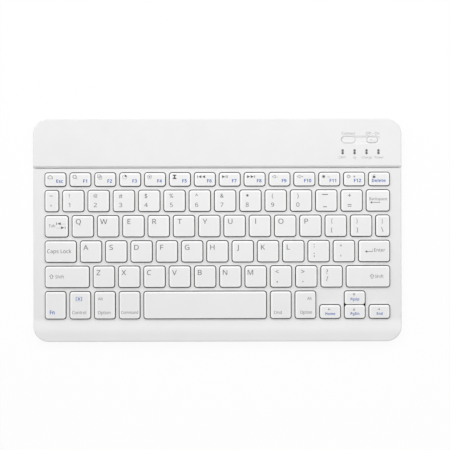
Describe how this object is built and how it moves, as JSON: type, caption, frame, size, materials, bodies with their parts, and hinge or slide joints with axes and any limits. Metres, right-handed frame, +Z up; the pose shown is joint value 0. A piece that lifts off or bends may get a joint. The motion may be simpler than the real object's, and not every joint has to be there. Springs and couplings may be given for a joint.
{
  "type": "wireless tablet keyboard",
  "caption": "Slim white wireless keyboard for a tablet: thin deck of low scissor keys, raised rear strip with a push button, slide switch and lights, socket in the right wall.",
  "frame": {"origin": "on the surface that the feet stand on, under the middle of the body", "axes": "+X to the right along the rows of keys, +Y to the rear strip, +Z up"},
  "size_m": [0.248, 0.15, 0.007],
  "materials": {
    "shell_white": "fine matt moulded white",
    "keycap_white": "satin moulded white with printed legends",
    "control_white": "satin moulded white",
    "light_window": "smoked clear moulding",
    "foot_rubber": "soft pale grey rubber",
    "screw_steel": "nickel plated",
    "plate_steel": "bare rolled sheet",
    "film": "printed clear film",
    "pad_rubber": "soft foam rubber",
    "dome_rubber": "translucent soft rubber",
    "frame_plastic": "natural moulded plastic",
    "bar_steel": "drawn wire",
    "board": "green solder mask",
    "component": "black moulded packages",
    "socket_steel": "nickel plated sheet",
    "cell_foil": "laminated foil pouch",
    "tape": "double-sided foam tape",
    "lead_cover": "wire insulation",
    "switch_plastic": "black moulded plastic"
  },
  "bodies": {
    "case": {"bottom_cover": "shell_white", "rear_cover": "shell_white", "key_deck": "shell_white", "front_rail": "shell_white", "key_plate": "plate_steel", "membrane": "film", "tail_pad": "pad_rubber", "rubber_domes": "dome_rubber", "scissor_outer_frames": "frame_plastic", "scissor_inner_frames": "frame_plastic", "stabilizer_bars": "bar_steel", "circuit_board": "board", "board_components": "component", "usb_socket": "socket_steel", "battery": "cell_foil", "battery_tape": "tape", "battery_leads": "lead_cover", "connect_switch": "switch_plastic", "power_switch": "switch_plastic", "light_pipes": "light_window", "case_screws": "screw_steel", "rubber_feet": "foot_rubber"},
    "connect_button": {"connect_button": "control_white"},
    "power_slider": {"power_slider": "control_white"},
    "function_keys": {"function_keys": "keycap_white"},
    "number_keys": {"number_keys": "keycap_white"},
    "punctuation_keys": {"punctuation_keys": "keycap_white"},
    "editing_keys": {"editing_keys": "keycap_white"},
    "modifier_keys": {"modifier_keys": "keycap_white"},
    "key_space": {"key_space": "keycap_white"},
    "key_left": {"key_left": "keycap_white"},
    "key_up": {"key_up": "keycap_white"},
    "key_down": {"key_down": "keycap_white"},
    "key_right": {"key_right": "keycap_white"},
    "key_q": {"key_q": "keycap_white"},
    "key_w": {"key_w": "keycap_white"},
    "key_e": {"key_e": "keycap_white"},
    "key_r": {"key_r": "keycap_white"},
    "key_t": {"key_t": "keycap_white"},
    "key_y": {"key_y": "keycap_white"},
    "key_u": {"key_u": "keycap_white"},
    "key_i": {"key_i": "keycap_white"},
    "key_o": {"key_o": "keycap_white"},
    "key_p": {"key_p": "keycap_white"},
    "key_a": {"key_a": "keycap_white"},
    "key_s": {"key_s": "keycap_white"},
    "key_d": {"key_d": "keycap_white"},
    "key_f": {"key_f": "keycap_white"},
    "key_g": {"key_g": "keycap_white"},
    "key_h": {"key_h": "keycap_white"},
    "key_j": {"key_j": "keycap_white"},
    "key_k": {"key_k": "keycap_white"},
    "key_l": {"key_l": "keycap_white"},
    "key_z": {"key_z": "keycap_white"},
    "key_x": {"key_x": "keycap_white"},
    "key_c": {"key_c": "keycap_white"},
    "key_v": {"key_v": "keycap_white"},
    "key_b": {"key_b": "keycap_white"},
    "key_n": {"key_n": "keycap_white"},
    "key_m": {"key_m": "keycap_white"}
  },
  "joints": [
    {"name": "connect_button_press", "type": "slide", "parent": "case", "child": "connect_button", "axis": [0, 0, -1], "range_m": [0, 0.0004], "stiffness_N_per_m": 2500, "springref_m": -0.0004},
    {"name": "power_slider_slide", "type": "slide", "parent": "case", "child": "power_slider", "axis": [1, 0, 0], "range_m": [-0.0025, 0]},
    {"name": "function_keys_press", "type": "slide", "parent": "case", "child": "function_keys", "axis": [0, 0, -1], "range_m": [0, 0.0016], "stiffness_N_per_m": 5250, "springref_m": -0.0008, "deforming": ["rubber_domes", "scissor_outer_frames", "scissor_inner_frames", "stabilizer_bars"]},
    {"name": "number_keys_press", "type": "slide", "parent": "case", "child": "number_keys", "axis": [0, 0, -1], "range_m": [0, 0.0016], "stiffness_N_per_m": 4875, "springref_m": -0.0008, "deforming": ["rubber_domes", "scissor_outer_frames", "scissor_inner_frames", "stabilizer_bars"]},
    {"name": "punctuation_keys_press", "type": "slide", "parent": "case", "child": "punctuation_keys", "axis": [0, 0, -1], "range_m": [0, 0.0016], "stiffness_N_per_m": 3000, "springref_m": -0.0008, "deforming": ["rubber_domes", "scissor_outer_frames", "scissor_inner_frames", "stabilizer_bars"]},
    {"name": "editing_keys_press", "type": "slide", "parent": "case", "child": "editing_keys", "axis": [0, 0, -1], "range_m": [0, 0.0016], "stiffness_N_per_m": 2250, "springref_m": -0.0008, "deforming": ["rubber_domes", "scissor_outer_frames", "scissor_inner_frames", "stabilizer_bars"]},
    {"name": "modifier_keys_press", "type": "slide", "parent": "case", "child": "modifier_keys", "axis": [0, 0, -1], "range_m": [0, 0.0016], "stiffness_N_per_m": 2250, "springref_m": -0.0008, "deforming": ["rubber_domes", "scissor_outer_frames", "scissor_inner_frames", "stabilizer_bars"]},
    {"name": "key_space_press", "type": "slide", "parent": "case", "child": "key_space", "axis": [0, 0, -1], "range_m": [0, 0.0016], "stiffness_N_per_m": 375, "springref_m": -0.0008, "deforming": ["rubber_domes", "scissor_outer_frames", "scissor_inner_frames", "stabilizer_bars"]},
    {"name": "key_left_press", "type": "slide", "parent": "case", "child": "key_left", "axis": [0, 0, -1], "range_m": [0, 0.0016], "stiffness_N_per_m": 375, "springref_m": -0.0008, "deforming": ["rubber_domes", "scissor_outer_frames", "scissor_inner_frames", "stabilizer_bars"]},
    {"name": "key_up_press", "type": "slide", "parent": "case", "child": "key_up", "axis": [0, 0, -1], "range_m": [0, 0.0016], "stiffness_N_per_m": 375, "springref_m": -0.0008, "deforming": ["rubber_domes", "scissor_outer_frames", "scissor_inner_frames", "stabilizer_bars"]},
    {"name": "key_down_press", "type": "slide", "parent": "case", "child": "key_down", "axis": [0, 0, -1], "range_m": [0, 0.0016], "stiffness_N_per_m": 375, "springref_m": -0.0008, "deforming": ["rubber_domes", "scissor_outer_frames", "scissor_inner_frames", "stabilizer_bars"]},
    {"name": "key_right_press", "type": "slide", "parent": "case", "child": "key_right", "axis": [0, 0, -1], "range_m": [0, 0.0016], "stiffness_N_per_m": 375, "springref_m": -0.0008, "deforming": ["rubber_domes", "scissor_outer_frames", "scissor_inner_frames", "stabilizer_bars"]},
    {"name": "key_q_press", "type": "slide", "parent": "case", "child": "key_q", "axis": [0, 0, -1], "range_m": [0, 0.0016], "stiffness_N_per_m": 375, "springref_m": -0.0008, "deforming": ["rubber_domes", "scissor_outer_frames", "scissor_inner_frames", "stabilizer_bars"]},
    {"name": "key_w_press", "type": "slide", "parent": "case", "child": "key_w", "axis": [0, 0, -1], "range_m": [0, 0.0016], "stiffness_N_per_m": 375, "springref_m": -0.0008, "deforming": ["rubber_domes", "scissor_outer_frames", "scissor_inner_frames", "stabilizer_bars"]},
    {"name": "key_e_press", "type": "slide", "parent": "case", "child": "key_e", "axis": [0, 0, -1], "range_m": [0, 0.0016], "stiffness_N_per_m": 375, "springref_m": -0.0008, "deforming": ["rubber_domes", "scissor_outer_frames", "scissor_inner_frames", "stabilizer_bars"]},
    {"name": "key_r_press", "type": "slide", "parent": "case", "child": "key_r", "axis": [0, 0, -1], "range_m": [0, 0.0016], "stiffness_N_per_m": 375, "springref_m": -0.0008, "deforming": ["rubber_domes", "scissor_outer_frames", "scissor_inner_frames", "stabilizer_bars"]},
    {"name": "key_t_press", "type": "slide", "parent": "case", "child": "key_t", "axis": [0, 0, -1], "range_m": [0, 0.0016], "stiffness_N_per_m": 375, "springref_m": -0.0008, "deforming": ["rubber_domes", "scissor_outer_frames", "scissor_inner_frames", "stabilizer_bars"]},
    {"name": "key_y_press", "type": "slide", "parent": "case", "child": "key_y", "axis": [0, 0, -1], "range_m": [0, 0.0016], "stiffness_N_per_m": 375, "springref_m": -0.0008, "deforming": ["rubber_domes", "scissor_outer_frames", "scissor_inner_frames", "stabilizer_bars"]},
    {"name": "key_u_press", "type": "slide", "parent": "case", "child": "key_u", "axis": [0, 0, -1], "range_m": [0, 0.0016], "stiffness_N_per_m": 375, "springref_m": -0.0008, "deforming": ["rubber_domes", "scissor_outer_frames", "scissor_inner_frames", "stabilizer_bars"]},
    {"name": "key_i_press", "type": "slide", "parent": "case", "child": "key_i", "axis": [0, 0, -1], "range_m": [0, 0.0016], "stiffness_N_per_m": 375, "springref_m": -0.0008, "deforming": ["rubber_domes", "scissor_outer_frames", "scissor_inner_frames", "stabilizer_bars"]},
    {"name": "key_o_press", "type": "slide", "parent": "case", "child": "key_o", "axis": [0, 0, -1], "range_m": [0, 0.0016], "stiffness_N_per_m": 375, "springref_m": -0.0008, "deforming": ["rubber_domes", "scissor_outer_frames", "scissor_inner_frames", "stabilizer_bars"]},
    {"name": "key_p_press", "type": "slide", "parent": "case", "child": "key_p", "axis": [0, 0, -1], "range_m": [0, 0.0016], "stiffness_N_per_m": 375, "springref_m": -0.0008, "deforming": ["rubber_domes", "scissor_outer_frames", "scissor_inner_frames", "stabilizer_bars"]},
    {"name": "key_a_press", "type": "slide", "parent": "case", "child": "key_a", "axis": [0, 0, -1], "range_m": [0, 0.0016], "stiffness_N_per_m": 375, "springref_m": -0.0008, "deforming": ["rubber_domes", "scissor_outer_frames", "scissor_inner_frames", "stabilizer_bars"]},
    {"name": "key_s_press", "type": "slide", "parent": "case", "child": "key_s", "axis": [0, 0, -1], "range_m": [0, 0.0016], "stiffness_N_per_m": 375, "springref_m": -0.0008, "deforming": ["rubber_domes", "scissor_outer_frames", "scissor_inner_frames", "stabilizer_bars"]},
    {"name": "key_d_press", "type": "slide", "parent": "case", "child": "key_d", "axis": [0, 0, -1], "range_m": [0, 0.0016], "stiffness_N_per_m": 375, "springref_m": -0.0008, "deforming": ["rubber_domes", "scissor_outer_frames", "scissor_inner_frames", "stabilizer_bars"]},
    {"name": "key_f_press", "type": "slide", "parent": "case", "child": "key_f", "axis": [0, 0, -1], "range_m": [0, 0.0016], "stiffness_N_per_m": 375, "springref_m": -0.0008, "deforming": ["rubber_domes", "scissor_outer_frames", "scissor_inner_frames", "stabilizer_bars"]},
    {"name": "key_g_press", "type": "slide", "parent": "case", "child": "key_g", "axis": [0, 0, -1], "range_m": [0, 0.0016], "stiffness_N_per_m": 375, "springref_m": -0.0008, "deforming": ["rubber_domes", "scissor_outer_frames", "scissor_inner_frames", "stabilizer_bars"]},
    {"name": "key_h_press", "type": "slide", "parent": "case", "child": "key_h", "axis": [0, 0, -1], "range_m": [0, 0.0016], "stiffness_N_per_m": 375, "springref_m": -0.0008, "deforming": ["rubber_domes", "scissor_outer_frames", "scissor_inner_frames", "stabilizer_bars"]},
    {"name": "key_j_press", "type": "slide", "parent": "case", "child": "key_j", "axis": [0, 0, -1], "range_m": [0, 0.0016], "stiffness_N_per_m": 375, "springref_m": -0.0008, "deforming": ["rubber_domes", "scissor_outer_frames", "scissor_inner_frames", "stabilizer_bars"]},
    {"name": "key_k_press", "type": "slide", "parent": "case", "child": "key_k", "axis": [0, 0, -1], "range_m": [0, 0.0016], "stiffness_N_per_m": 375, "springref_m": -0.0008, "deforming": ["rubber_domes", "scissor_outer_frames", "scissor_inner_frames", "stabilizer_bars"]},
    {"name": "key_l_press", "type": "slide", "parent": "case", "child": "key_l", "axis": [0, 0, -1], "range_m": [0, 0.0016], "stiffness_N_per_m": 375, "springref_m": -0.0008, "deforming": ["rubber_domes", "scissor_outer_frames", "scissor_inner_frames", "stabilizer_bars"]},
    {"name": "key_z_press", "type": "slide", "parent": "case", "child": "key_z", "axis": [0, 0, -1], "range_m": [0, 0.0016], "stiffness_N_per_m": 375, "springref_m": -0.0008, "deforming": ["rubber_domes", "scissor_outer_frames", "scissor_inner_frames", "stabilizer_bars"]},
    {"name": "key_x_press", "type": "slide", "parent": "case", "child": "key_x", "axis": [0, 0, -1], "range_m": [0, 0.0016], "stiffness_N_per_m": 375, "springref_m": -0.0008, "deforming": ["rubber_domes", "scissor_outer_frames", "scissor_inner_frames", "stabilizer_bars"]},
    {"name": "key_c_press", "type": "slide", "parent": "case", "child": "key_c", "axis": [0, 0, -1], "range_m": [0, 0.0016], "stiffness_N_per_m": 375, "springref_m": -0.0008, "deforming": ["rubber_domes", "scissor_outer_frames", "scissor_inner_frames", "stabilizer_bars"]},
    {"name": "key_v_press", "type": "slide", "parent": "case", "child": "key_v", "axis": [0, 0, -1], "range_m": [0, 0.0016], "stiffness_N_per_m": 375, "springref_m": -0.0008, "deforming": ["rubber_domes", "scissor_outer_frames", "scissor_inner_frames", "stabilizer_bars"]},
    {"name": "key_b_press", "type": "slide", "parent": "case", "child": "key_b", "axis": [0, 0, -1], "range_m": [0, 0.0016], "stiffness_N_per_m": 375, "springref_m": -0.0008, "deforming": ["rubber_domes", "scissor_outer_frames", "scissor_inner_frames", "stabilizer_bars"]},
    {"name": "key_n_press", "type": "slide", "parent": "case", "child": "key_n", "axis": [0, 0, -1], "range_m": [0, 0.0016], "stiffness_N_per_m": 375, "springref_m": -0.0008, "deforming": ["rubber_domes", "scissor_outer_frames", "scissor_inner_frames", "stabilizer_bars"]},
    {"name": "key_m_press", "type": "slide", "parent": "case", "child": "key_m", "axis": [0, 0, -1], "range_m": [0, 0.0016], "stiffness_N_per_m": 375, "springref_m": -0.0008, "deforming": ["rubber_domes", "scissor_outer_frames", "scissor_inner_frames", "stabilizer_bars"]}
  ]
}
